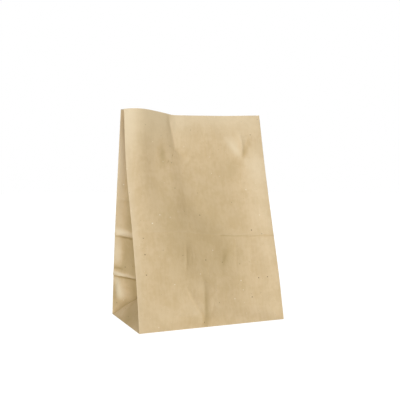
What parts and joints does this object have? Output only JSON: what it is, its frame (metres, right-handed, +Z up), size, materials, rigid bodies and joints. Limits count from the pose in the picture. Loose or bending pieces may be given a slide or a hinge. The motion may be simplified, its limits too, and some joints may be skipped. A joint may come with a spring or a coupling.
{
  "type": "paper lunch bag",
  "caption": "Flat-bottomed brown kraft paper bag with folded side gussets, standing open on its base with its mouth pinched nearly shut.",
  "frame": {"origin": "centre of the base rectangle, on the surface that the bag stands on", "axes": "+Z up, +X to the right along the front panel, +Y from the front panel to the back panel"},
  "size_m": [0.2, 0.1182, 0.2741],
  "materials": {
    "kraft_paper": "matte uncoated brown kraft"
  },
  "bodies": {
    "root": {"paper_bag": "kraft_paper"}
  },
  "joints": []
}
